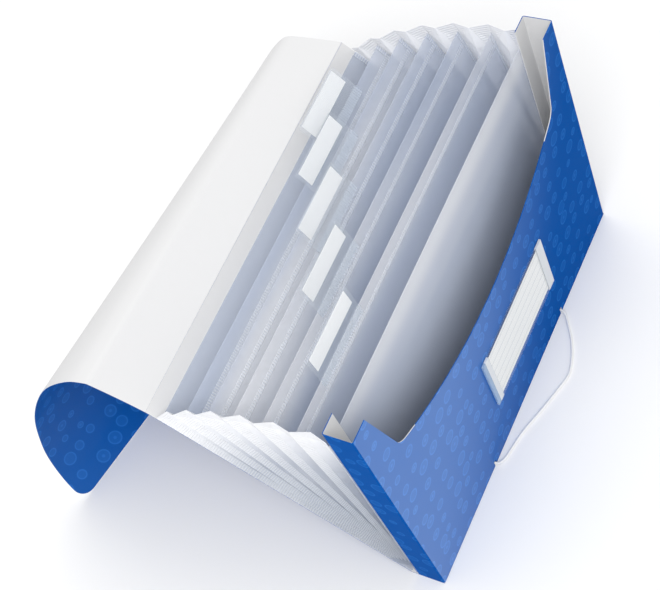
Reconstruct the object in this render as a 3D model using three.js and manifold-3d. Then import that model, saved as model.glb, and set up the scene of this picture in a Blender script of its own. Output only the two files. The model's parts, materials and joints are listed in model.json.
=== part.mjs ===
// Expanding file folder: a one-piece polypropylene cover with a box-shaped front pocket,
// a six-compartment concertina, tabbed dividers, a label holder and an elastic closing cord.
// Millimetres, +Z up. The file stands on the pocket's bottom, open, with its flap hanging back.
import * as THREE from 'three';
import { mergeVertices } from 'three/addons/utils/BufferGeometryUtils.js';
import ManifoldModule from 'manifold-3d';

const solidKernel = await ManifoldModule();
solidKernel.setup();
const { Manifold, Mesh: KernelMesh } = solidKernel;

// Cover
const fileWidth = 330;
const pocketHeight = 240;
const pocketDepth = 22;
const coverWall = 0.6;
const foldRadius = 1.4;
const flangeWidth = 15;
const backLength = 233;

// Finger scoop in the pocket's front
const scoopRim = 17;
const scoopSideInset = 31;
const scoopShoulder = 64;
const scoopSag = 34;
const scoopCorner = 7;
const cutDepth = 6;

// Concertina
const compartments = 6;
const fanAngle = THREE.MathUtils.degToRad(43.5);
const filmWall = 0.3;
const clearance = 0.3;
const gussetHeight = 225;
const gussetStart = 12;
const gussetLeg = 15;
const dividerDrop = 8;
const wallFilmDrop = 4;

// Index tabs
const tabLength = 58;
const tabHeight = 31;
const tabLap = 6;
const tabEndMargin = 26;
const tabCardInset = 3;
const tabCardHeight = 14;
const tabCardDrop = 1.5;
const tabCardWall = 0.3;
const tabFilm = 0.25;

// Label holder on the front
const labelLength = 110;
const labelHeight = 58;
const labelCentreX = 17;
const labelBottom = 47;
const labelEndStrip = 9;
const labelFilm = 0.3;
const labelCardWall = 0.35;

// Flap
const flapLength = 280;
const flapStraightLength = 45;
const flapCorner = 13;
const hingeSetback = 0.5;
const flapSideDrift = 35;
const flapRows = 44;
const flapColumns = 14;

// Closing cord
const cordDiameter = 1.8;
const cordSides = 8;
const cordHoleNearX = -66;
const cordHoleFarX = 70.5;
const cordHoleHeight = 2.4;
const knotDiameter = 4.6;

const halfWidth = fileWidth / 2;
const frontY = -pocketDepth / 2;
const pocketBackY = pocketDepth / 2;
const sheetPitch = filmWall + clearance;
const stackStart = pocketBackY + clearance + filmWall / 2;
const seatHeight = coverWall + clearance;
const compartmentAngle = fanAngle / compartments;
const spineY = footY(compartments) + (filmWall / 2 + clearance) / Math.cos(fanAngle);

const palette = {
  cover: { color: 0x1152a3, roughness: 0.42, metalness: 0 },
  flap: { color: 0x1152a3, roughness: 0.42, metalness: 0 },
  film: { color: 0xc8d4e6, roughness: 0.35, metalness: 0 },
  gusset: { color: 0xb9c4d6, roughness: 0.4, metalness: 0 },
  sleeve: { color: 0xdfe8f4, roughness: 0.25, metalness: 0 },
  card: { color: 0xebebe8, roughness: 0.8, metalness: 0 },
  cord: { color: 0xd9dbde, roughness: 0.85, metalness: 0 },
};

// Solids and meshes

function toSolid(geometry) {
  const plain = geometry.index ? geometry.toNonIndexed() : geometry.clone();
  plain.deleteAttribute('normal');
  plain.deleteAttribute('uv');
  const welded = mergeVertices(plain, 1e-4);
  return new Manifold(new KernelMesh({
    numProp: 3,
    vertProperties: new Float32Array(welded.attributes.position.array),
    triVerts: new Uint32Array(welded.index.array),
  }));
}

function toGeometry(solid) {
  const result = solid.getMesh();
  const geometry = new THREE.BufferGeometry();
  geometry.setAttribute('position', new THREE.BufferAttribute(result.vertProperties, 3));
  geometry.setIndex(new THREE.BufferAttribute(result.triVerts, 1));
  return geometry;
}

function namedMesh(name, geometry, look) {
  geometry.computeVertexNormals();
  const mesh = new THREE.Mesh(geometry, new THREE.MeshStandardMaterial(look));
  mesh.name = name;
  return mesh;
}

// A closed sheet from two grids of points: front and back hold rows of THREE.Vector3.
function sheetGeometry(front, back) {
  const rows = front.length;
  const columns = front[0].length;
  const positions = [...front.flat(), ...back.flat()].flatMap((point) => point.toArray());
  const at = (side, row, column) => side * rows * columns + row * columns + column;
  const index = [];
  const quad = (a, b, c, d) => index.push(a, b, c, a, c, d);
  for (let row = 0; row + 1 < rows; row += 1) {
    for (let column = 0; column + 1 < columns; column += 1) {
      quad(at(0, row, column), at(0, row, column + 1), at(0, row + 1, column + 1), at(0, row + 1, column));
      quad(at(1, row, column), at(1, row + 1, column), at(1, row + 1, column + 1), at(1, row, column + 1));
    }
    const last = columns - 1;
    quad(at(0, row, 0), at(0, row + 1, 0), at(1, row + 1, 0), at(1, row, 0));
    quad(at(0, row, last), at(1, row, last), at(1, row + 1, last), at(0, row + 1, last));
  }
  for (let column = 0; column + 1 < columns; column += 1) {
    const last = rows - 1;
    quad(at(0, 0, column), at(1, 0, column), at(1, 0, column + 1), at(0, 0, column + 1));
    quad(at(0, last, column), at(0, last, column + 1), at(1, last, column + 1), at(1, last, column));
  }
  const geometry = new THREE.BufferGeometry();
  geometry.setAttribute('position', new THREE.Float32BufferAttribute(positions, 3));
  geometry.setIndex(index);
  return signedVolume(geometry) < 0 ? flipped(geometry) : geometry;
}

function signedVolume(geometry) {
  const { position } = geometry.attributes;
  const corners = [new THREE.Vector3(), new THREE.Vector3(), new THREE.Vector3()];
  let volume = 0;
  for (let face = 0; face < geometry.index.count; face += 3) {
    corners.forEach((corner, k) => corner.fromBufferAttribute(position, geometry.index.getX(face + k)));
    volume += corners[0].dot(corners[1].clone().cross(corners[2])) / 6;
  }
  return volume;
}

function flipped(geometry) {
  const index = geometry.index.array;
  for (let face = 0; face < index.length; face += 3) {
    [index[face], index[face + 2]] = [index[face + 2], index[face]];
  }
  return geometry;
}

function box(sizeX, sizeY, sizeZ, minX, minY, minZ) {
  const geometry = new THREE.BoxGeometry(sizeX, sizeY, sizeZ);
  geometry.translate(minX + sizeX / 2, minY + sizeY / 2, minZ + sizeZ / 2);
  return geometry;
}

// The fan: sheet 0 lies against the pocket's back and sheet 6 against the back cover. At its
// foot each sheet keeps the named clearance to the one before.

function footY(sheet) {
  let y = stackStart;
  for (let step = 1; step <= sheet; step += 1) {
    y += sheetPitch / Math.cos(step * compartmentAngle);
  }
  return y;
}

function fanFrame(sheet) {
  const angle = sheet * compartmentAngle;
  return {
    foot: new THREE.Vector3(0, footY(sheet), seatHeight),
    up: new THREE.Vector3(0, Math.sin(angle), Math.cos(angle)),
    front: new THREE.Vector3(0, -Math.cos(angle), Math.sin(angle)),
  };
}

function fanPoint(sheet, radius, x, offset = 0) {
  const { foot, up, front } = fanFrame(sheet);
  return foot.clone().addScaledVector(up, radius).addScaledVector(front, offset).setX(x);
}

// A flat panel on one sheet of the fan. The outline is in (x, radius); faces lie at two offsets.
function fanPanel(sheet, outline, nearOffset, farOffset) {
  const { foot, up, front } = fanFrame(sheet);
  const geometry = new THREE.ExtrudeGeometry(outline, {
    depth: farOffset - nearOffset,
    bevelEnabled: false,
    curveSegments: 6,
  });
  geometry.translate(0, 0, nearOffset);
  geometry.applyMatrix4(new THREE.Matrix4().makeBasis(new THREE.Vector3(1, 0, 0), up, front).setPosition(foot));
  return geometry;
}

function outlineOf(points) {
  return new THREE.Shape(points.map(([x, y]) => new THREE.Vector2(x, y)));
}

function roundedOutline(minX, minY, maxX, maxY, radius) {
  const shape = new THREE.Shape();
  shape.moveTo(minX + radius, minY);
  shape.lineTo(maxX - radius, minY);
  shape.absarc(maxX - radius, minY + radius, radius, -Math.PI / 2, 0, false);
  shape.absarc(maxX - radius, maxY - radius, radius, 0, Math.PI / 2, false);
  shape.absarc(minX + radius, maxY - radius, radius, Math.PI / 2, Math.PI, false);
  shape.absarc(minX + radius, minY + radius, radius, Math.PI, Math.PI * 1.5, false);
  return shape;
}

// Gussets: a leg runs from each outer fold to the next valley. The film's two faces are the
// same zigzag shifted along X, so every leg keeps the film's thickness.

function gussetSpread(radius) {
  return sheetPitch * 0.7 + 2 * radius * Math.sin(compartmentAngle / 2);
}

function gussetSlope(radius) {
  return Math.asin(Math.min(0.98, gussetSpread(radius) / 2 / gussetLeg));
}

function gussetShift(radius) {
  return filmWall / 2 / Math.sin(gussetSlope(radius));
}

function gussetFold(fold, radius) {
  const isValley = fold % 2 === 1;
  const sheet = fold / 2;
  const slope = gussetSlope(radius);
  const shift = gussetShift(radius);
  const inset = isValley ? gussetLeg * Math.cos(slope) : 0;
  const endGap = filmWall / 2 + clearance + filmWall / 2 / Math.cos(slope);
  const endOffset = fold === 0 ? -endGap : 0;
  const lastOffset = fold === 2 * compartments ? endGap : 0;
  const point = isValley
    ? fanPoint(sheet - 0.5, radius, 0).add(fanPoint(sheet + 0.5, radius, 0)).multiplyScalar(0.5)
    : fanPoint(sheet, radius, 0, endOffset + lastOffset);
  return point.setX(halfWidth - shift - inset);
}

function gusset(name, side) {
  const levels = 15;
  const outer = [];
  const inner = [];
  for (let level = 0; level < levels; level += 1) {
    const share = level / (levels - 1);
    const radius = gussetStart + (gussetHeight - gussetStart) * share ** 1.25;
    const shift = gussetShift(radius);
    const folds = Array.from({ length: 2 * compartments + 1 }, (_, fold) => gussetFold(fold, radius));
    outer.push(folds.map((point) => new THREE.Vector3(side * (point.x + shift), point.y, point.z)));
    inner.push(folds.map((point) => new THREE.Vector3(side * (point.x - shift), point.y, point.z)));
  }
  return namedMesh(name, sheetGeometry(outer, inner), palette.gusset);
}

function dividerHalfWidth(radius) {
  const slope = gussetSlope(Math.max(radius, gussetStart));
  const fit = filmWall / 2 + clearance + 0.1;
  return halfWidth - 2 * gussetShift(Math.max(radius, gussetStart)) - fit / Math.tan(slope) - clearance;
}

function divider(number) {
  const top = gussetHeight - dividerDrop;
  const stops = [filmWall, gussetStart, 20, 32, 50, 80, 130, top];
  const right = stops.map((radius) => [dividerHalfWidth(radius), radius]);
  const left = right.map(([x, radius]) => [-x, radius]).reverse();
  const geometry = fanPanel(number, outlineOf([...right, ...left]), -filmWall / 2, filmWall / 2);
  return namedMesh(`divider_${number}`, geometry, palette.film);
}

function concertinaWall(name, sheet) {
  const top = gussetHeight - wallFilmDrop;
  const outline = roundedOutline(-halfWidth, filmWall, halfWidth, top, 1.5);
  return namedMesh(name, fanPanel(sheet, outline, -filmWall / 2, filmWall / 2), palette.film);
}

// Index tabs: a film sleeve welded to the divider's face, open above, with a card strip in it.

function tabCentre(number) {
  const free = fileWidth - 2 * gussetLeg - 2 * tabEndMargin - tabLength;
  return (free * (number - 1)) / (compartments - 2) - free / 2;
}

const tabSlot = tabCardWall + 2 * clearance;
const tabFoot = gussetHeight - dividerDrop - tabLap;
const tabNear = filmWall / 2 + clearance;

function tabSleeve(number) {
  const centre = tabCentre(number);
  const depth = 2 * tabFilm + tabSlot;
  const outline = roundedOutline(centre - tabLength / 2, tabFoot, centre + tabLength / 2, tabFoot + tabHeight, 2);
  const shell = toSolid(fanPanel(number, outline, tabNear, tabNear + depth));
  const slotFoot = tabFoot + tabHeight - tabCardHeight - tabCardDrop - clearance;
  const slot = outlineOf([
    [centre - tabLength / 2 + tabCardInset - clearance, slotFoot],
    [centre + tabLength / 2 - tabCardInset + clearance, slotFoot],
    [centre + tabLength / 2 - tabCardInset + clearance, tabFoot + tabHeight + 1],
    [centre - tabLength / 2 + tabCardInset - clearance, tabFoot + tabHeight + 1],
  ]);
  const cavity = toSolid(fanPanel(number, slot, tabNear + tabFilm, tabNear + tabFilm + tabSlot));
  return namedMesh(`tab_sleeve_${number}`, toGeometry(shell.subtract(cavity)), palette.sleeve);
}

function tabInsert(number) {
  const centre = tabCentre(number);
  const half = tabLength / 2 - tabCardInset;
  const foot = tabFoot + tabHeight - tabCardHeight - tabCardDrop;
  const outline = outlineOf([
    [centre - half, foot],
    [centre + half, foot],
    [centre + half, foot + tabCardHeight],
    [centre - half, foot + tabCardHeight],
  ]);
  const near = tabNear + tabFilm + clearance;
  return namedMesh(`tab_insert_${number}`, fanPanel(number, outline, near, near + tabCardWall), palette.card);
}

// Label holder

function labelSleeve() {
  const depth = 2 * labelFilm + labelCardWall + 2 * clearance;
  const minX = labelCentreX - labelLength / 2;
  const back = frontY - clearance;
  const shell = toSolid(box(labelLength, depth, labelHeight, minX, back - depth, labelBottom));
  const slot = toSolid(box(
    labelLength - labelEndStrip + 1,
    depth - 2 * labelFilm,
    labelHeight - 5,
    minX + labelEndStrip,
    back - depth + labelFilm,
    labelBottom + 2.5,
  ));
  return namedMesh('label_sleeve', toGeometry(shell.subtract(slot)), palette.sleeve);
}

function labelCard() {
  const minX = labelCentreX - labelLength / 2 + labelEndStrip + clearance;
  const back = frontY - clearance - labelFilm - clearance;
  const length = labelLength - 2 * labelEndStrip;
  const height = labelHeight - 5 - 2 * clearance;
  const geometry = box(length, labelCardWall, height, minX, back - labelCardWall, labelBottom + 2.5 + clearance);
  return namedMesh('label_card', geometry, palette.card);
}

// Cover: pocket, bottom and back from one blank

function scoopOutline() {
  const topX = halfWidth - scoopRim;
  const cornerX = halfWidth - scoopSideInset;
  const cornerZ = pocketHeight - scoopShoulder;
  const shape = new THREE.Shape();
  const side = new THREE.Vector2(cornerX - topX, cornerZ - pocketHeight).normalize();
  const floorStart = new THREE.Vector2(cornerX - scoopCorner * 1.2, cornerZ - scoopCorner * 0.55);
  shape.moveTo(-topX, pocketHeight + 2);
  shape.lineTo(-topX, pocketHeight);
  shape.lineTo(-cornerX + side.x * scoopCorner, cornerZ - side.y * scoopCorner);
  shape.quadraticCurveTo(-cornerX, cornerZ, -floorStart.x, floorStart.y);
  shape.quadraticCurveTo(0, cornerZ - 2 * scoopSag + scoopCorner, floorStart.x, floorStart.y);
  shape.quadraticCurveTo(cornerX, cornerZ, cornerX - side.x * scoopCorner, cornerZ - side.y * scoopCorner);
  shape.lineTo(topX, pocketHeight);
  shape.lineTo(topX, pocketHeight + 2);
  return shape;
}

function backOuter(radius, offset) {
  const up = new THREE.Vector2(Math.sin(fanAngle), Math.cos(fanAngle));
  const out = new THREE.Vector2(Math.cos(fanAngle), -Math.sin(fanAngle));
  return [spineY + up.x * radius + out.x * offset, seatHeight + up.y * radius + out.y * offset];
}

// A strip of sheet seen edge on: it follows a line and turns each corner with a bend radius.
function bentStrip(corners, wall, radius) {
  const line = corners.map(([x, y]) => new THREE.Vector2(x, y));
  const sides = [[], []];
  line.forEach((corner, index) => {
    const into = corner.clone().sub(line[index - 1] ?? corner).normalize();
    const away = (line[index + 1] ?? corner).clone().sub(corner).normalize();
    const isEnd = index === 0 || index === line.length - 1;
    const turn = isEnd ? 0 : Math.sign(into.cross(away));
    const steps = isEnd ? 0 : 5;
    const heading = index === 0 ? away.angle() : into.angle();
    const centre = corner.clone();
    if (!isEnd) {
      const inward = new THREE.Vector2(-into.y, into.x).multiplyScalar(turn * radius);
      centre.addScaledVector(into, -radius).add(inward);
    }
    for (let step = 0; step <= steps; step += 1) {
      const angle = heading + (steps ? (turn * (step / steps) * Math.PI) / 2 : 0);
      const left = new THREE.Vector2(-Math.sin(angle), Math.cos(angle));
      const base = isEnd ? centre.clone() : centre.clone().addScaledVector(left, -turn * radius);
      sides[0].push(base.clone().addScaledVector(left, wall / 2));
      sides[1].unshift(base.clone().addScaledVector(left, -wall / 2));
    }
  });
  return new THREE.Shape([...sides[0], ...sides[1]]);
}

// Where the back's line, moved outwards by an offset, is at a height.
function backLineY(height, offset) {
  return spineY + (offset + (height - seatHeight) * Math.sin(fanAngle)) / Math.cos(fanAngle);
}

// The pocket's walls in plan, swept up; the bottom and back in side view, swept across.
function cover() {
  const w = coverWall;
  const wallX = halfWidth - w / 2;
  const plan = bentStrip([
    [flangeWidth - halfWidth, pocketBackY - w / 2],
    [-wallX, pocketBackY - w / 2],
    [-wallX, frontY + w / 2],
    [wallX, frontY + w / 2],
    [wallX, pocketBackY - w / 2],
    [halfWidth - flangeWidth, pocketBackY - w / 2],
  ], w, foldRadius - w / 2);
  const walls = new THREE.ExtrudeGeometry(plan, { depth: pocketHeight, bevelEnabled: false });
  const [outerY, outerZ] = backOuter(backLength, w);
  const profile = outlineOf([
    [frontY, 0],
    [backLineY(0, w), 0],
    [outerY, outerZ],
    backOuter(backLength, 0),
    [backLineY(w, 0), w],
    [frontY, w],
  ]);
  const side = new THREE.ExtrudeGeometry(profile, { depth: fileWidth, bevelEnabled: false });
  side.applyMatrix4(new THREE.Matrix4().makeBasis(
    new THREE.Vector3(0, 1, 0),
    new THREE.Vector3(0, 0, 1),
    new THREE.Vector3(1, 0, 0),
  ).setPosition(-halfWidth, 0, 0));
  const scoop = new THREE.ExtrudeGeometry(scoopOutline(), { depth: cutDepth, bevelEnabled: false, curveSegments: 24 });
  scoop.applyMatrix4(new THREE.Matrix4().makeBasis(
    new THREE.Vector3(1, 0, 0),
    new THREE.Vector3(0, 0, 1),
    new THREE.Vector3(0, -1, 0),
  ).setPosition(0, frontY + cutDepth / 2, 0));
  let solid = toSolid(walls).add(toSolid(side)).subtract(toSolid(scoop));
  for (const x of [cordHoleNearX, cordHoleFarX]) {
    const hole = new THREE.CylinderGeometry(
      cordDiameter / 2 + clearance + 0.1,
      cordDiameter / 2 + clearance + 0.1,
      cutDepth,
      16,
    );
    hole.rotateX(Math.PI / 2);
    hole.translate(x, frontY, cordHoleHeight);
    solid = solid.subtract(toSolid(hole));
  }
  return namedMesh('cover', toGeometry(solid), palette.cover);
}

// Flap: from the mouth line it runs on straight, folds over and stands on its free edge.

const [hingeY, hingeZ] = backOuter(backLength, coverWall / 2);

function flapProfile(points) {
  const [start, crease, ...rest] = points.map(([y, z]) => new THREE.Vector3(0, y, z));
  const bend = new THREE.CatmullRomCurve3([crease, ...rest], false, 'centripetal');
  return { start, crease, bend };
}

// The two side edges in side view: points after the mouth line as shares of the flap's length,
// (behind, above). The last one lies on the table.
const nearBend = [[0.132, 0.093], [0.189, 0.079], [0.293, 0.007], [0.371, -0.089], [0.436, -0.207],
  [0.471, -0.318], [0.486, -0.411], [0.475, -0.518]];
const nearRest = 0.439;
const farBend = [[0.161, -0.004], [0.186, -0.014], [0.264, -0.096], [0.332, -0.207], [0.386, -0.329],
  [0.404, -0.45], [0.368, -0.557], [0.3, -0.589]];
const farRest = 0.211;

function flapEdge(shares, rest) {
  const bend = shares.map(([behind, above]) => [hingeY + behind * flapLength, hingeZ + above * flapLength]);
  return flapProfile([[hingeY, hingeZ], ...bend, [hingeY + rest * flapLength, coverWall / 2]]);
}

const nearProfile = flapEdge(nearBend, nearRest);
const farProfile = flapEdge(farBend, farRest);

function profilePoint(profile, share) {
  const straightShare = flapStraightLength / flapLength;
  if (share <= straightShare) {
    return profile.start.clone().lerp(profile.crease, share / straightShare);
  }
  return profile.bend.getPointAt((share - straightShare) / (1 - straightShare));
}

function flapRowsOf() {
  const along = [];
  const cornerShare = flapCorner / flapLength;
  for (let row = 0; row <= flapRows; row += 1) {
    along.push({ share: (row / flapRows) * (1 - cornerShare), inset: 0 });
  }
  for (let step = 1; step <= 5; step += 1) {
    const turn = (step / 5) * (Math.PI / 2);
    along.push({ share: 1 - cornerShare * (1 - Math.sin(turn)), inset: flapCorner * (1 - Math.cos(turn)) });
  }
  return along;
}

function flap() {
  const middle = flapRowsOf().map(({ share, inset }) => {
    const near = profilePoint(nearProfile, share);
    const far = profilePoint(farProfile, share);
    const drift = -flapSideDrift * share ** 1.6;
    return Array.from({ length: flapColumns + 1 }, (_, column) => {
      const across = (inset + (column / flapColumns) * (fileWidth - 2 * inset)) / fileWidth;
      return near.clone().lerp(far, across).setX(-halfWidth + across * fileWidth + drift);
    });
  });
  const start = middle[0].map((point, column) => {
    const next = middle[1][column];
    return point.clone().add(next.clone().sub(point).setLength(hingeSetback));
  });
  middle[0] = start;
  const faces = [1, -1].map((side) => middle.map((row, i) => row.map((point, j) => {
    const before = middle[Math.max(i - 1, 0)][j];
    const after = middle[Math.min(i + 1, middle.length - 1)][j];
    const left = row[Math.max(j - 1, 0)];
    const right = row[Math.min(j + 1, row.length - 1)];
    const normal = after.clone().sub(before).cross(right.clone().sub(left)).normalize();
    const moved = point.clone().addScaledVector(normal, (side * coverWall) / 2);
    return moved.setZ(Math.max(moved.z, 0));
  })));
  return namedMesh('flap', sheetGeometry(faces[0], faces[1]), palette.flap);
}

// Closing cord: a loop on the table whose ends pass through the front's bottom fold.

const cordRest = cordDiameter / 2;
const cordRoute = [
  [cordHoleFarX, frontY + coverWall + 0.6, cordHoleHeight],
  [cordHoleFarX, frontY - 1.6, cordHoleHeight],
  [cordHoleFarX - 2.5, frontY - 4.5, cordRest + 0.3],
  [62, frontY - 8.5, cordRest],
  [47, frontY - 17.5, cordRest],
  [33, frontY - 23, cordRest],
  [20, frontY - 25.5, cordRest],
  [7, frontY - 22.5, cordRest],
  [-12.5, frontY - 17, cordRest],
  [-36, frontY - 9.5, cordRest],
  [-52, frontY - 6.5, cordRest],
  [cordHoleNearX + 6, frontY - 5, cordRest + 0.2],
  [cordHoleNearX + 0.6, frontY - 2.4, cordHoleHeight - 0.2],
  [cordHoleNearX, frontY - 0.6, cordHoleHeight],
  [cordHoleNearX, frontY + coverWall + 0.6, cordHoleHeight],
].map(([x, y, z]) => new THREE.Vector3(x, y, z));

function elasticCord() {
  const round = new THREE.Shape();
  for (let side = 0; side < cordSides; side += 1) {
    const turn = (side / cordSides) * Math.PI * 2;
    const x = Math.cos(turn) * cordRest;
    const y = Math.sin(turn) * cordRest;
    if (side === 0) {
      round.moveTo(x, y);
    } else {
      round.lineTo(x, y);
    }
  }
  const geometry = new THREE.ExtrudeGeometry(round, {
    steps: 60,
    extrudePath: new THREE.CatmullRomCurve3(cordRoute, false, 'centripetal'),
    bevelEnabled: false,
  });
  return namedMesh('elastic_cord', toGeometry(toSolid(geometry)), palette.cord);
}

// A knot sits in the pocket behind each hole and keeps the cord from pulling out.
function cordKnot(name, x) {
  const geometry = new THREE.SphereGeometry(knotDiameter / 2, 14, 10);
  geometry.translate(x, frontY + coverWall + 0.6 + clearance + knotDiameter / 2, seatHeight + knotDiameter / 2);
  return namedMesh(name, toGeometry(toSolid(geometry)), palette.cord);
}

function build() {
  const file = new THREE.Group();
  file.name = 'expanding_file';
  file.add(cover(), flap());
  file.add(concertinaWall('concertina_front_wall', 0), concertinaWall('concertina_back_wall', compartments));
  file.add(gusset('gusset_near', -1), gusset('gusset_far', 1));
  for (let number = 1; number < compartments; number += 1) {
    file.add(divider(number), tabSleeve(number), tabInsert(number));
  }
  file.add(labelSleeve(), labelCard(), elasticCord());
  file.add(cordKnot('cord_knot_near', cordHoleNearX), cordKnot('cord_knot_far', cordHoleFarX));
  return file;
}

export default build();
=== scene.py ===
import json
import math

import bpy
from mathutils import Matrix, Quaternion, Vector


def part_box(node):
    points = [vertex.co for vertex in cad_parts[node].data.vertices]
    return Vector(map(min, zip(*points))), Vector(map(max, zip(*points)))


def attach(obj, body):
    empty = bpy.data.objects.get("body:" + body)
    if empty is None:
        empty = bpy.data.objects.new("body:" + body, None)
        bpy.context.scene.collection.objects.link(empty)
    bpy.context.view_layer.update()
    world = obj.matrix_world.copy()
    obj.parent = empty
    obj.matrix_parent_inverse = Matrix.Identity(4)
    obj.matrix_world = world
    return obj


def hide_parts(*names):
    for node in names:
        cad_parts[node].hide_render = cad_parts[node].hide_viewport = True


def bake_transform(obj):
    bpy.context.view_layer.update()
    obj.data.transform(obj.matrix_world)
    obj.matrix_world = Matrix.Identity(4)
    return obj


# Looks of a standing expanding file: blue polypropylene cover with a white inside, translucent
# concertina with knurled weld lines, clear tab and label holders, elastic cord. Metres, +Z up.

mm = 0.001


# A socket that takes part in Python expressions. Each operator adds one Math node.
class Field:
    def __init__(self, surface, socket):
        self.surface = surface
        self.socket = socket

    def joined(self, operation, other, swapped=False):
        first, second = (other, self) if swapped else (self, other)
        return self.surface.math(operation, first, second)

    def __add__(self, other):
        return self.joined("ADD", other)

    def __radd__(self, other):
        return self.joined("ADD", other, True)

    def __sub__(self, other):
        return self.joined("SUBTRACT", other)

    def __rsub__(self, other):
        return self.joined("SUBTRACT", other, True)

    def __mul__(self, other):
        return self.joined("MULTIPLY", other)

    def __rmul__(self, other):
        return self.joined("MULTIPLY", other, True)

    def __truediv__(self, other):
        return self.joined("DIVIDE", other)

    def __rtruediv__(self, other):
        return self.joined("DIVIDE", other, True)

    def __pow__(self, other):
        return self.joined("POWER", other)

    def __rpow__(self, other):
        return self.joined("POWER", other, True)

    def __gt__(self, other):
        return self.joined("GREATER_THAN", other)

    def __lt__(self, other):
        return self.joined("LESS_THAN", other)


# The node tree of a material or a world.
class Surface:
    def __init__(self, owner):
        self.owner = owner
        owner.use_nodes = True
        self.tree = owner.node_tree
        self.tree.nodes.clear()

    def node(self, kind, settings=None, values=None):
        made = self.tree.nodes.new(kind)
        for key, value in (settings or {}).items():
            setattr(made, key, value)
        for key, value in (values or {}).items():
            self.feed(made.inputs[key], value)
        return made

    def feed(self, socket, value):
        if isinstance(value, Field):
            self.tree.links.new(value.socket, socket)
        elif isinstance(value, bpy.types.NodeSocket):
            self.tree.links.new(value, socket)
        else:
            socket.default_value = value

    def math(self, operation, first, second=0.0):
        values = {0: first, 1: second}
        return Field(self, self.node("ShaderNodeMath", {"operation": operation}, values).outputs[0])

    def absolute(self, value):
        return self.math("ABSOLUTE", value)

    def largest(self, first, second):
        return self.math("MAXIMUM", first, second)

    # 0 at low and 1 at high, eased between them.
    def smooth(self, value, low, high):
        settings = {"interpolation_type": "SMOOTHSTEP"}
        values = {"Value": value, "From Min": low, "From Max": high}
        return Field(self, self.node("ShaderNodeMapRange", settings, values).outputs["Result"])

    # Rounded ribs across a value, 0 in the grooves and 1 on the crests.
    def ribs(self, value, pitch):
        return self.math("SINE", value * (2 * math.pi / pitch)) * 0.5 + 0.5

    def vector(self, x, y, z=0.0):
        return self.node("ShaderNodeCombineXYZ", values={"X": x, "Y": y, "Z": z}).outputs[0]

    def parts(self, vector):
        split = self.node("ShaderNodeSeparateXYZ", values={"Vector": vector})
        return tuple(Field(self, split.outputs[axis]) for axis in "XYZ")

    def noise(self, scale, detail=2.0, place=None):
        values = {"Vector": place or self.coordinates.outputs["Object"], "Scale": scale, "Detail": detail}
        return Field(self, self.node("ShaderNodeTexNoise", values=values).outputs["Fac"])

    def mixed(self, share, first, second):
        made = self.node("ShaderNodeMix", {"data_type": "RGBA"}, {0: share, 6: first, 7: second})
        return Field(self, made.outputs[2])

    def bump(self, height, distance, strength=1.0):
        values = {"Height": height, "Distance": distance, "Strength": strength}
        return self.node("ShaderNodeBump", values=values).outputs["Normal"]

    def finish(self, values):
        shader = self.node("ShaderNodeBsdfPrincipled", values=values)
        self.node("ShaderNodeOutputMaterial", values={"Surface": shader.outputs["BSDF"]})
        return self.owner


def newSurface(name):
    surface = Surface(bpy.data.materials.new(name))
    surface.coordinates = surface.node("ShaderNodeTexCoord")
    surface.x, surface.y, surface.z = surface.parts(surface.coordinates.outputs["Object"])
    return surface


def assign(item, material):
    item.data.materials.clear()
    item.data.materials.append(material)


def newObject(name, data):
    item = bpy.data.objects.new(name, data)
    bpy.context.scene.collection.objects.link(item)
    return item


cover = {
    "blue": (0.002, 0.077, 0.335, 1),
    # Lighter copies of the blue and of its motif blue: painted sheen, which the sheen share mixes in.
    "paintedSheenBlue": (0.004, 0.122, 0.46, 1),
    "motifBlue": (0.014, 0.135, 0.48, 1),
    "paintedSheenMotifBlue": (0.03, 0.21, 0.66, 1),
    "motifLevel": 0.7,
    "motifPitch": 17 * mm,
    "inside": (0.7, 0.7, 0.705, 1),
    "insideRoughness": 0.12,  # more than the outside's
    "roughness": 0.36,
    "index": 1.03,
    # The painted sheen: a coat and a lighter blue, graded across the front towards its near end, and
    # constant on the back and on the flap's blue side.
    "paintedSheen": 1.0,
    "sheenRoughness": 0.3,
    "paintedSheenFrom": 60 * mm,  # across the front, towards its near end
    "paintedSheenTo": -190 * mm,
    "paintedSheenSlant": 0.6,
    "paintedBackSheen": 0.45,
    "hollow": (0, 0, 120 * mm),  # a point inside the file, which the white side looks to
}


# Scattered rings and dots of several sizes, tone on tone. place lies flat on the sheet.
def motif(surface, place):
    settings = {"feature": "F1", "voronoi_dimensions": "2D"}
    values = {"Vector": place, "Scale": 1 / cover["motifPitch"], "Randomness": 0.55}
    cells = surface.node("ShaderNodeTexVoronoi", settings, values)
    away = Field(surface, cells.outputs["Distance"])
    chance = surface.node("ShaderNodeSeparateColor", values={"Color": cells.outputs["Color"]})
    size = Field(surface, chance.outputs["Red"]) * 0.17 + 0.15
    dotted = Field(surface, chance.outputs["Green"]) > 0.4
    ring = surface.smooth(surface.absolute(away - size), 0.045, 0.025)
    disc = surface.smooth(away, size, size - 0.02) * 0.4
    dot = surface.smooth(away, 0.09, 0.07) * dotted
    return surface.largest(surface.largest(ring, disc), dot)


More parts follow.
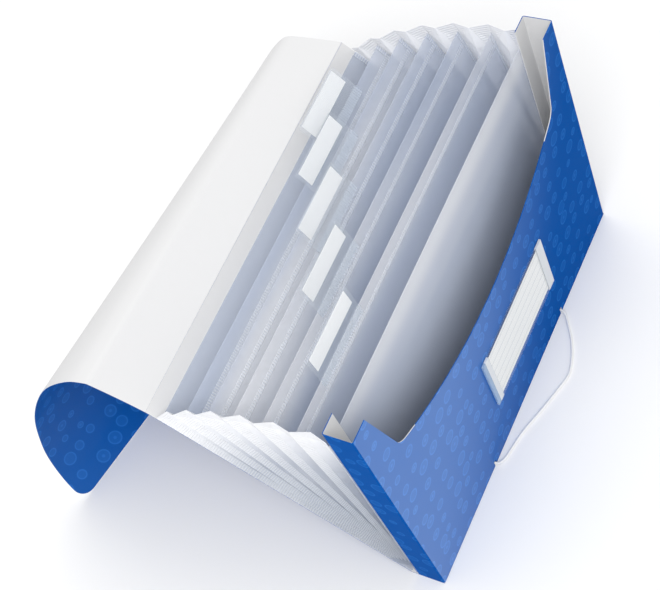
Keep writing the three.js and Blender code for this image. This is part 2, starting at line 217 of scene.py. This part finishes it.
# The blank is blue outside and white inside; inner is 1 on the white side.
def finishSheet(surface, place, inner, paintedSheen):
    # Painted sheen: the sheen share mixes the blues towards their lighter copies and weights the coat.
    plain = surface.mixed(paintedSheen, cover["blue"], cover["paintedSheenBlue"])
    marked = surface.mixed(paintedSheen, cover["motifBlue"], cover["paintedSheenMotifBlue"])
    blue = surface.mixed(motif(surface, place) * cover["motifLevel"], plain, marked)
    wave = surface.noise(9.0, 1.0)
    grain = surface.noise(900.0, 1.0)
    return surface.finish({
        "Base Color": surface.mixed(inner, blue, cover["inside"]),
        "Roughness": cover["roughness"] + inner * cover["insideRoughness"] + grain * 0.06,
        "IOR": cover["index"],
        "Coat Weight": paintedSheen * cover["paintedSheen"],
        "Coat Roughness": cover["sheenRoughness"],
        "Normal": surface.bump(wave * 0.5 + grain * 0.006, 0.004, 0.35),
    })


# On the pocket and back the white side is the one whose normal looks towards the hollow.
def coverMaterial():
    surface = newSurface("cover_sheet")
    place, normal = (surface.coordinates.outputs[name] for name in ("Object", "Normal"))
    normalX, normalY, normalZ = surface.parts(normal)
    sideways = surface.absolute(normalX) > 0.7
    upright = surface.absolute(normalZ) > 0.7
    across = surface.x + sideways * (surface.y - surface.x)
    along = surface.z + upright * (surface.y - surface.z)
    settings, values = {"operation": "SUBTRACT"}, {0: cover["hollow"], 1: place}
    towards = surface.node("ShaderNodeVectorMath", settings, values).outputs[0]
    side = surface.node("ShaderNodeVectorMath", {"operation": "DOT_PRODUCT"}, {0: towards, 1: normal})
    inner = Field(surface, side.outputs["Value"]) > 0
    # Painted sheen on the blue side: graded across the front towards its near end, constant on the back.
    slanted = surface.x - surface.z * cover["paintedSheenSlant"]
    front = surface.smooth(slanted, cover["paintedSheenFrom"], cover["paintedSheenTo"]) * (normalY < -0.9)
    behind = (normalY > 0.3) * cover["paintedBackSheen"]
    paintedSheen = surface.largest(front, behind) * (1 - inner)
    return finishSheet(surface, surface.vector(across, along), inner, paintedSheen)


# The flap's mesh carries its own side and its place on the flat sheet, which turn with it.
def flapMaterial():
    surface = newSurface("flap_sheet")
    side = surface.node("ShaderNodeAttribute", {"attribute_name": "sheetSide"})
    place = surface.node("ShaderNodeAttribute", {"attribute_name": "sheetPlace"})
    inner = Field(surface, side.outputs["Fac"]) > 0.5
    # The flap's blue side gets the back's constant painted sheen.
    return finishSheet(surface, place.outputs["Vector"], inner, (1 - inner) * cover["paintedBackSheen"])


film = {
    "color": (0.64, 0.7, 0.825, 1),
    # The white that the painted highlight streaks and the whiter tops mix in.
    "lightColor": (0.94, 0.95, 0.98, 1),
    "weldColor": (0.86, 0.9, 0.96, 1),
    "alpha": 0.4,
    "weldAlpha": 0.8,
    "roughness": 0.33,
    "index": 1.49,
    "knurlPitch": 2 * mm,
    "weldWidth": 4 * mm,
    "seam": 206 * mm,  # from the fan's foot to the knurled line across a divider
    "gussetAlpha": 0.5,
    # The gussets' film is a darker copy of the film: painted shade of the folds.
    "gussetPaintedShade": 0.78,
    "gussetPaintedHighlights": 0.25,
    "gussetTop": 1.0,
    "topFrom": 130 * mm,  # the gussets grow whiter and less clear towards their top
    "topTo": 215 * mm,
    "topAlpha": 0.25,
}


# Film with knurled weld bands near the side edges; the ribs run around the fan's foot.
# seam is the distance from the foot at which a knurled line crosses the film, if it has one.
def filmMaterial(name, alpha, tone=1.0, paintedHighlightLevel=1.0, topLevel=0.0, seam=None):
    surface = newSurface(name)
    edge = frameBox["cover"][1].x
    width = film["weldWidth"]
    away = distanceFromFoot(surface)
    weld = surface.smooth(surface.absolute(surface.x), edge - width, edge - 0.9 * width)
    weld = weld * surface.smooth(away, 20 * mm, 24 * mm)
    ribs = surface.ribs(away, film["knurlPitch"])
    if seam:
        line = surface.smooth(surface.absolute(away - seam), 0.5 * width, 0.4 * width)
        ribs = ribs + line * (surface.ribs(surface.x, film["knurlPitch"]) - ribs)
        weld = surface.largest(weld, line)
    # Painted highlights: stretched noise lays pale streaks across the film, as strong as the level given.
    stretched = surface.vector(surface.x * 2, surface.y * 16, surface.z * 16)
    paintedHighlights = surface.smooth(surface.noise(1.0, 1.0, stretched), 0.45, 0.68) * paintedHighlightLevel
    top = surface.smooth(away, film["topFrom"], film["topTo"]) * topLevel
    # On the gussets the toned film colour is painted shade.
    plain = surface.mixed(surface.largest(paintedHighlights, top), toned(film["color"], tone), film["lightColor"])
    ribbed = surface.mixed(top, toned(film["weldColor"], tone), film["lightColor"])
    alpha = alpha + top * film["topAlpha"]
    return surface.finish({
        "Base Color": surface.mixed(weld * ribs, plain, ribbed),
        "Roughness": film["roughness"] + weld * 0.2,
        "Alpha": alpha + weld * (film["weldAlpha"] - alpha),
        "IOR": film["index"],
        "Normal": surface.bump(ribs * weld + surface.noise(14.0) * 0.8, 0.0006, 0.6),
    })


def toned(color, tone):
    return tuple(part * tone for part in color[:3]) + (1,)


def distanceFromFoot(surface):
    return surface.math("SQRT", (surface.y - fanFoot[0]) ** 2 + (surface.z - fanFoot[1]) ** 2)


sleeve = {
    "color": (0.8, 0.87, 0.96, 1),
    "alpha": 0.1,
    "weldAlpha": 0.45,
    "weldWidth": 8.5 * mm,
    "roughness": 0.15,
    "labelAlpha": 0.08,
    "labelEnd": 9 * mm,
    "labelRim": 4 * mm,
    "rimColor": (0.42, 0.6, 0.86, 1),
    "rimAlpha": 0.45,
    "milkColor": (0.76, 0.79, 0.82, 1),
    "milkAlpha": 0.3,
}


# A tab's holder is clear, with a knurled weld strip where it laps the divider.
def sleeveMaterial(number):
    surface = newSurface(f"tab_sleeve_{number}")
    low = frameBox[f"tab_sleeve_{number}"][0]
    end = math.hypot(low.y - fanFoot[0], low.z - fanFoot[1]) + sleeve["weldWidth"]
    strip = surface.smooth(distanceFromFoot(surface), end + 0.5 * mm, end - 0.5 * mm)
    ribs = surface.ribs(surface.x, film["knurlPitch"])
    return surface.finish({
        "Base Color": sleeve["color"],
        "Roughness": sleeve["roughness"] + strip * 0.2,
        "Alpha": sleeve["alpha"] + strip * ribs * (sleeve["weldAlpha"] - sleeve["alpha"]),
        "IOR": film["index"],
        "Normal": surface.bump(ribs * strip + surface.noise(60.0) * 0.5, 0.0004, 0.5),
    })


# The label's holder is welded down at both ends: milky, and bluish along its near edge.
def labelSleeveMaterial():
    surface = newSurface("label_sleeve")
    low, high = frameBox["label_sleeve"]
    half = (high.x - low.x) / 2
    off = surface.x - (low.x + high.x) / 2
    reach, rim = half - sleeve["labelEnd"], half - sleeve["labelRim"]
    strip = surface.smooth(surface.absolute(off), reach - 0.2 * mm, reach + 0.2 * mm)
    milky = strip * (off > -rim)
    ends = surface.mixed(milky, sleeve["rimColor"], sleeve["milkColor"])
    return surface.finish({
        "Base Color": surface.mixed(strip, sleeve["color"], ends),
        "Roughness": sleeve["roughness"],
        "Alpha": sleeve["labelAlpha"] + strip * sleeve["rimAlpha"] + milky * sleeve["milkAlpha"],
        "IOR": film["index"],
        "Normal": surface.bump(surface.noise(40.0), 0.0004, 0.4),
    })


card = {
    "color": (0.83, 0.83, 0.81, 1),
    "tabColor": (0.94, 0.94, 0.93, 1),
    "roughness": 0.8,
    "lineColor": (0.4, 0.43, 0.48, 1),
    "linePitch": 9 * mm,
}


def cardMaterial():
    surface = newSurface("card")
    return surface.finish({
        "Base Color": card["tabColor"],
        "Roughness": card["roughness"],
        "Normal": surface.bump(surface.noise(1500.0), 0.0001, 0.3),
    })


# The label is a plain form with faint rules.
def labelCardMaterial():
    surface = newSurface("label_card")
    low = frameBox["label_card"][0]
    rows = surface.math("FRACT", (surface.z - low.z) / card["linePitch"])
    line = surface.smooth(surface.absolute(rows - 0.5), 0.05, 0.03)
    return surface.finish({
        "Base Color": surface.mixed(line * 0.6, card["color"], card["lineColor"]),
        "Roughness": card["roughness"],
    })


def dressNodes():
    filmLook = filmMaterial("film", film["alpha"])
    dividerLook = filmMaterial("divider_film", film["alpha"], seam=film["seam"])
    gusset = (film[key] for key in ("gussetAlpha", "gussetPaintedShade", "gussetPaintedHighlights", "gussetTop"))
    gussetLook = filmMaterial("gusset_film", *gusset)
    cardLook = cardMaterial()
    knotLook = cordMaterial()
    looks = {
        "cover": coverMaterial(),
        "concertina_front_wall": filmLook,
        "concertina_back_wall": filmLook,
        "gusset_near": gussetLook,
        "gusset_far": gussetLook,
        "label_sleeve": labelSleeveMaterial(),
        "label_card": labelCardMaterial(),
        "cord_knot_near": knotLook,
        "cord_knot_far": knotLook,
    }
    for number in range(1, 6):
        looks[f"divider_{number}"] = dividerLook
        looks[f"tab_sleeve_{number}"] = sleeveMaterial(number)
        looks[f"tab_insert_{number}"] = cardLook
    for name, look in looks.items():
        assign(frame["nodes"][name], look)


# A curve through points, as the CAD draws it: centripetal Catmull-Rom with even steps.
def catmullRom(points, count):
    ends = [2 * points[0] - points[1]] + points + [2 * points[-1] - points[-2]]
    dense = []
    for index in range(1, len(ends) - 2):
        p0, p1, p2, p3 = ends[index - 1:index + 3]
        t1 = math.sqrt((p1 - p0).length)
        t2 = t1 + math.sqrt((p2 - p1).length)
        t3 = t2 + math.sqrt((p3 - p2).length)
        for step in range(24):
            t = t1 + (t2 - t1) * step / 24
            a1 = p0 * ((t1 - t) / t1) + p1 * (t / t1)
            a2 = p1 * ((t2 - t) / (t2 - t1)) + p2 * ((t - t1) / (t2 - t1))
            a3 = p2 * ((t3 - t) / (t3 - t2)) + p3 * ((t - t2) / (t3 - t2))
            b1 = a1 * ((t2 - t) / t2) + a2 * (t / t2)
            b2 = a2 * ((t3 - t) / (t3 - t1)) + a3 * ((t - t1) / (t3 - t1))
            dense.append(b1 * ((t2 - t) / (t2 - t1)) + b2 * ((t - t1) / (t2 - t1)))
    dense.append(points[-1])
    return evenSteps(dense, count)


def evenSteps(dense, count):
    reach = [0.0]
    for before, after in zip(dense, dense[1:]):
        reach.append(reach[-1] + (after - before).length)
    placed = []
    index = 0
    for step in range(count + 1):
        goal = reach[-1] * step / count
        while index < len(reach) - 2 and reach[index + 1] < goal:
            index += 1
        share = (goal - reach[index]) / (reach[index + 1] - reach[index])
        placed.append(dense[index].lerp(dense[index + 1], share))
    return placed


# near and far are the flap's side edges in side view, from the mouth line, as shares of its length:
# points of the bend (behind, above) and how far behind the free edge rests.
flap = {
    "width": 330 * mm,
    "wall": 0.6 * mm,
    "corner": 13 * mm,
    "length": 280 * mm,
    "drift": 35 * mm,
    "straight": 45 * mm,
    "blend": 5 * mm,
    "rows": 96,
    "cornerRows": 12,
    "columns": 40,
    "bendSteps": 400,
    "near": {
        "bend": [(0.132, 0.093), (0.189, 0.079), (0.293, 0.007), (0.371, -0.089), (0.436, -0.207),
                 (0.471, -0.318), (0.486, -0.411), (0.475, -0.518)],
        "rest": 0.439,
    },
    "far": {
        "bend": [(0.161, -0.004), (0.186, -0.014), (0.264, -0.096), (0.332, -0.207), (0.386, -0.329),
                 (0.404, -0.45), (0.368, -0.557), (0.3, -0.589)],
        "rest": 0.211,
    },
}


def flapEdge(edge):
    length = flap["length"]
    start = Vector((0, hinge.y, hinge.z))
    bend = [start + Vector((0, behind, above)) * length for behind, above in edge["bend"]]
    rest = Vector((0, hinge.y + edge["rest"] * length, flap["wall"] / 2))
    return start, bend[0], catmullRom(bend + [rest], flap["bendSteps"])


def edgePoint(edge, share):
    start, crease, bend = edge
    straightShare = flap["straight"] / flap["length"]
    if share <= straightShare:
        return start.lerp(crease, share / straightShare)
    along = (share - straightShare) / (1 - straightShare) * flap["bendSteps"]
    index = min(int(along), flap["bendSteps"] - 1)
    return bend[index].lerp(bend[index + 1], along - index)


# Each row's share of the length, and how far its ends are drawn in by the rounded corners.
def flapRows():
    cornerShare = flap["corner"] / flap["length"]
    rows = [(row / flap["rows"] * (1 - cornerShare), 0.0) for row in range(flap["rows"] + 1)]
    for step in range(1, flap["cornerRows"] + 1):
        turn = step / flap["cornerRows"] * math.pi / 2
        rows.append((1 - cornerShare * (1 - math.sin(turn)), flap["corner"] * (1 - math.cos(turn))))
    return rows


def flapGrid():
    near, far = flapEdge(flap["near"]), flapEdge(flap["far"])
    width = flap["width"]
    grid = []
    for share, inset in flapRows():
        left, right = edgePoint(near, share), edgePoint(far, share)
        drift = -flap["drift"] * share ** 1.6
        row = []
        for column in range(flap["columns"] + 1):
            across = (inset + column / flap["columns"] * (width - 2 * inset)) / width
            point = left.lerp(right, across)
            point.x = -width / 2 + across * width + drift
            row.append(point)
        grid.append(row)
    return grid


def gridNormal(grid, row, column):
    lastRow, lastColumn = len(grid) - 1, len(grid[0]) - 1
    down = grid[min(row + 1, lastRow)][column] - grid[max(row - 1, 0)][column]
    across = grid[row][min(column + 1, lastColumn)] - grid[row][max(column - 1, 0)]
    return down.cross(across).normalized()


# Where each grid point lies on the flat sheet: across, along, 0.
def flatPlaces(grid):
    places = []
    along = 0.0
    for row, points in enumerate(grid):
        if row:
            middle = len(points) // 2
            along += (points[middle] - grid[row - 1][middle]).length
        places.extend((point.x, along, 0.0) for point in points)
    return places


# A closed sheet around a grid of middle points. It notes its side and its flat place per point.
def sheetMesh(name, grid, wall):
    rows, columns = len(grid), len(grid[0])
    count = rows * columns
    points = []
    for side in (0.5, -0.5):
        for row in range(rows):
            for column in range(columns):
                moved = grid[row][column] + gridNormal(grid, row, column) * (wall * side)
                points.append((moved.x, moved.y, max(moved.z, 0.0)))
    faces = []
    for row in range(rows - 1):
        for column in range(columns - 1):
            first = row * columns + column
            face = [first, first + 1, first + columns + 1, first + columns]
            faces.append(face)
            faces.append([corner + count for corner in reversed(face)])
    rim = [row * columns for row in range(rows)]
    rim += [(rows - 1) * columns + column for column in range(1, columns)]
    rim += [row * columns + columns - 1 for row in reversed(range(rows - 1))]
    rim += list(reversed(range(1, columns - 1)))
    for here, there in zip(rim, rim[1:] + rim[:1]):
        faces.append([here, there, there + count, here + count])
    mesh = bpy.data.meshes.new(name)
    mesh.from_pydata(points, [], faces)
    mesh.update()
    side = mesh.attributes.new("sheetSide", "FLOAT", "POINT")
    side.data.foreach_set("value", [0.0] * count + [1.0] * count)
    flat = mesh.attributes.new("sheetPlace", "FLOAT_VECTOR", "POINT")
    flat.data.foreach_set("vector", [part for place in flatPlaces(grid) * 2 for part in place])
    mesh.shade_smooth()
    mesh.set_sharp_from_angle(angle=math.radians(40))
    return mesh


def buildFlap():
    item = newObject("flap_look", sheetMesh("flap_look", flapGrid(), flap["wall"]))
    assign(item, flapMaterial())
    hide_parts("flap")
    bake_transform(item)


cord = {
    "diameter": 1.8 * mm,
    "holeHeight": 2.4,
    "nearHole": -66.0,
    "farHole": 70.5,
    "steps": 38,
    "color": (0.88, 0.88, 0.87, 1),
    "darkColor": (0.7, 0.71, 0.73, 1),
    "braid": 1.3 * mm,
}


def cordMaterial():
    surface = newSurface("cord")
    turn = surface.math("SINE", (surface.x + surface.y) * (2 * math.pi / cord["braid"]))
    turnBack = surface.math("SINE", (surface.x - surface.y) * (2 * math.pi / cord["braid"]))
    weave = (turn * turnBack) * 0.5 + 0.5
    return surface.finish({
        "Base Color": surface.mixed(weave * 0.4, cord["color"], cord["darkColor"]),
        "Roughness": 0.9,
        "Normal": surface.bump(weave, 0.0002, 0.6),
    })


# The loop's route, repeated from the part's source, in mm: along X, out from the front, up.
def cordRoute():
    front = frameBox["cover"][0].y
    low, hole = cord["diameter"] / mm / 2, cord["holeHeight"]
    near, far = cord["nearHole"], cord["farHole"]
    route = [
        (far, 1.2, hole), (far, -1.6, hole), (far - 2.5, -4.5, low + 0.3),
        (62, -8.5, low), (47, -17.5, low), (33, -23, low), (20, -25.5, low), (7, -22.5, low),
        (-12.5, -17, low), (-36, -9.5, low), (-52, -6.5, low), (near + 6, -5, low + 0.2),
        (near + 0.6, -2.4, hole - 0.2), (near, -0.6, hole), (near, 1.2, hole),
    ]
    return [Vector((x * mm, front + y * mm, z * mm)) for x, y, z in route]


def buildCord():
    points = catmullRom(cordRoute(), cord["steps"])
    curve = bpy.data.curves.new("elastic_cord_look", "CURVE")
    curve.dimensions = "3D"
    curve.bevel_depth = cord["diameter"] / 2
    curve.bevel_resolution = 4
    curve.use_fill_caps = True
    curve.materials.append(cordMaterial())
    spline = curve.splines.new("POLY")
    spline.points.add(len(points) - 1)
    for knot, point in zip(spline.points, points):
        knot.co = (*point, 1)
    item = newObject("elastic_cord_look", curve)
    length = sum((after - before).length for before, after in zip(points, points[1:]))
    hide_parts("elastic_cord")
    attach(item, "file")


studio = {
    "floorSize": 80.0,
    "floorDrop": 0.2 * mm,
    "floorColor": (0.9, 0.9, 0.9, 1),
    "skyColor": (1.0, 1.0, 1.0, 1),
    "skyLevel": 0.8,
    "middle": (0, 0.1, 0.1),
    "lights": {
        "key": {"place": (-0.9, -0.5, 1.5), "size": 1.3, "power": 15.0},
        "fill": {"place": (0.8, 0.7, 1.3), "size": 1.6, "power": 6.0},
    },
}


def buildFloor():
    half, low = studio["floorSize"] / 2, -studio["floorDrop"]
    mesh = bpy.data.meshes.new("floor")
    corners = [(-half, -half, low), (half, -half, low), (half, half, low), (-half, half, low)]
    mesh.from_pydata(corners, [], [(0, 1, 2, 3)])
    floor = newObject("floor", mesh)
    values = {"Base Color": studio["floorColor"], "Roughness": 0.7, "Specular IOR Level": 0.2}
    assign(floor, newSurface("floor").finish(values))


def buildLights():
    for name, choice in studio["lights"].items():
        light = bpy.data.lights.new(name, "AREA")
        light.shape = "DISK"
        light.size = choice["size"]
        light.energy = choice["power"]
        item = newObject(name, light)
        item.location = choice["place"]
        item.rotation_mode = "QUATERNION"
        item.rotation_quaternion = (Vector(studio["middle"]) - item.location).to_track_quat("-Z", "Y")


# The camera sees plain white; everything else is lit by the softer sky.
def buildWorld():
    world = bpy.data.worlds.new("studio")
    bpy.context.scene.world = world
    surface = Surface(world)
    rays = surface.node("ShaderNodeLightPath")
    values = {"Color": studio["skyColor"], "Strength": studio["skyLevel"]}
    light = surface.node("ShaderNodeBackground", values=values)
    white = surface.node("ShaderNodeBackground", values={"Color": (1, 1, 1, 1), "Strength": 1.0})
    values = {0: rays.outputs["Is Camera Ray"], 1: light.outputs[0], 2: white.outputs[0]}
    mix = surface.node("ShaderNodeMixShader", values=values)
    surface.node("ShaderNodeOutputWorld", values={"Surface": mix.outputs[0]})


camera = {
    "place": (-0.4285, -0.3901, 1.0345),
    "aim": (0.0327, 0.1809, 0.0),
    "rollDegrees": 30.2,
    "lens": 83.4,
}


def buildCamera():
    data = bpy.data.cameras.new("camera")
    data.lens = camera["lens"]
    data.sensor_width = 36
    data.clip_end = 20
    item = newObject("camera", data)
    item.location = camera["place"]
    look = (Vector(camera["aim"]) - Vector(camera["place"])).to_track_quat("-Z", "Y")
    item.rotation_mode = "QUATERNION"
    item.rotation_quaternion = look @ Quaternion((0, 0, 1), math.radians(-camera["rollDegrees"]))
    bpy.context.scene.camera = item


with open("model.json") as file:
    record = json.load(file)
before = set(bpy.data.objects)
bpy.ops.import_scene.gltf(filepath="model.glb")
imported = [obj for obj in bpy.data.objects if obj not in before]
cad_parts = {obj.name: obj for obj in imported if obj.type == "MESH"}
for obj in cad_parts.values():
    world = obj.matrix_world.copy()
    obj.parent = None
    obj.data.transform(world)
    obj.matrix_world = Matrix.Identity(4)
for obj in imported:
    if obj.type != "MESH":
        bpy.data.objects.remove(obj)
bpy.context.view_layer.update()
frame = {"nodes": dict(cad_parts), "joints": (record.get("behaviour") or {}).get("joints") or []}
frameBox = {name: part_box(name) for name in frame["nodes"]}
hinge = Vector(frame["joints"][0]["pos_m"])
fanFoot = ((frameBox["concertina_front_wall"][0].y + frameBox["divider_5"][0].y) / 2, 1 * mm)
print("loaded", len(frameBox), "nodes")

buildCamera()
buildFloor()
buildWorld()
buildLights()
bpy.context.scene.view_settings.view_transform = "Standard"
print("stage ready")

dressNodes()
print("nodes dressed")

buildFlap()
print("flap built")

buildCord()
print("cord laid")
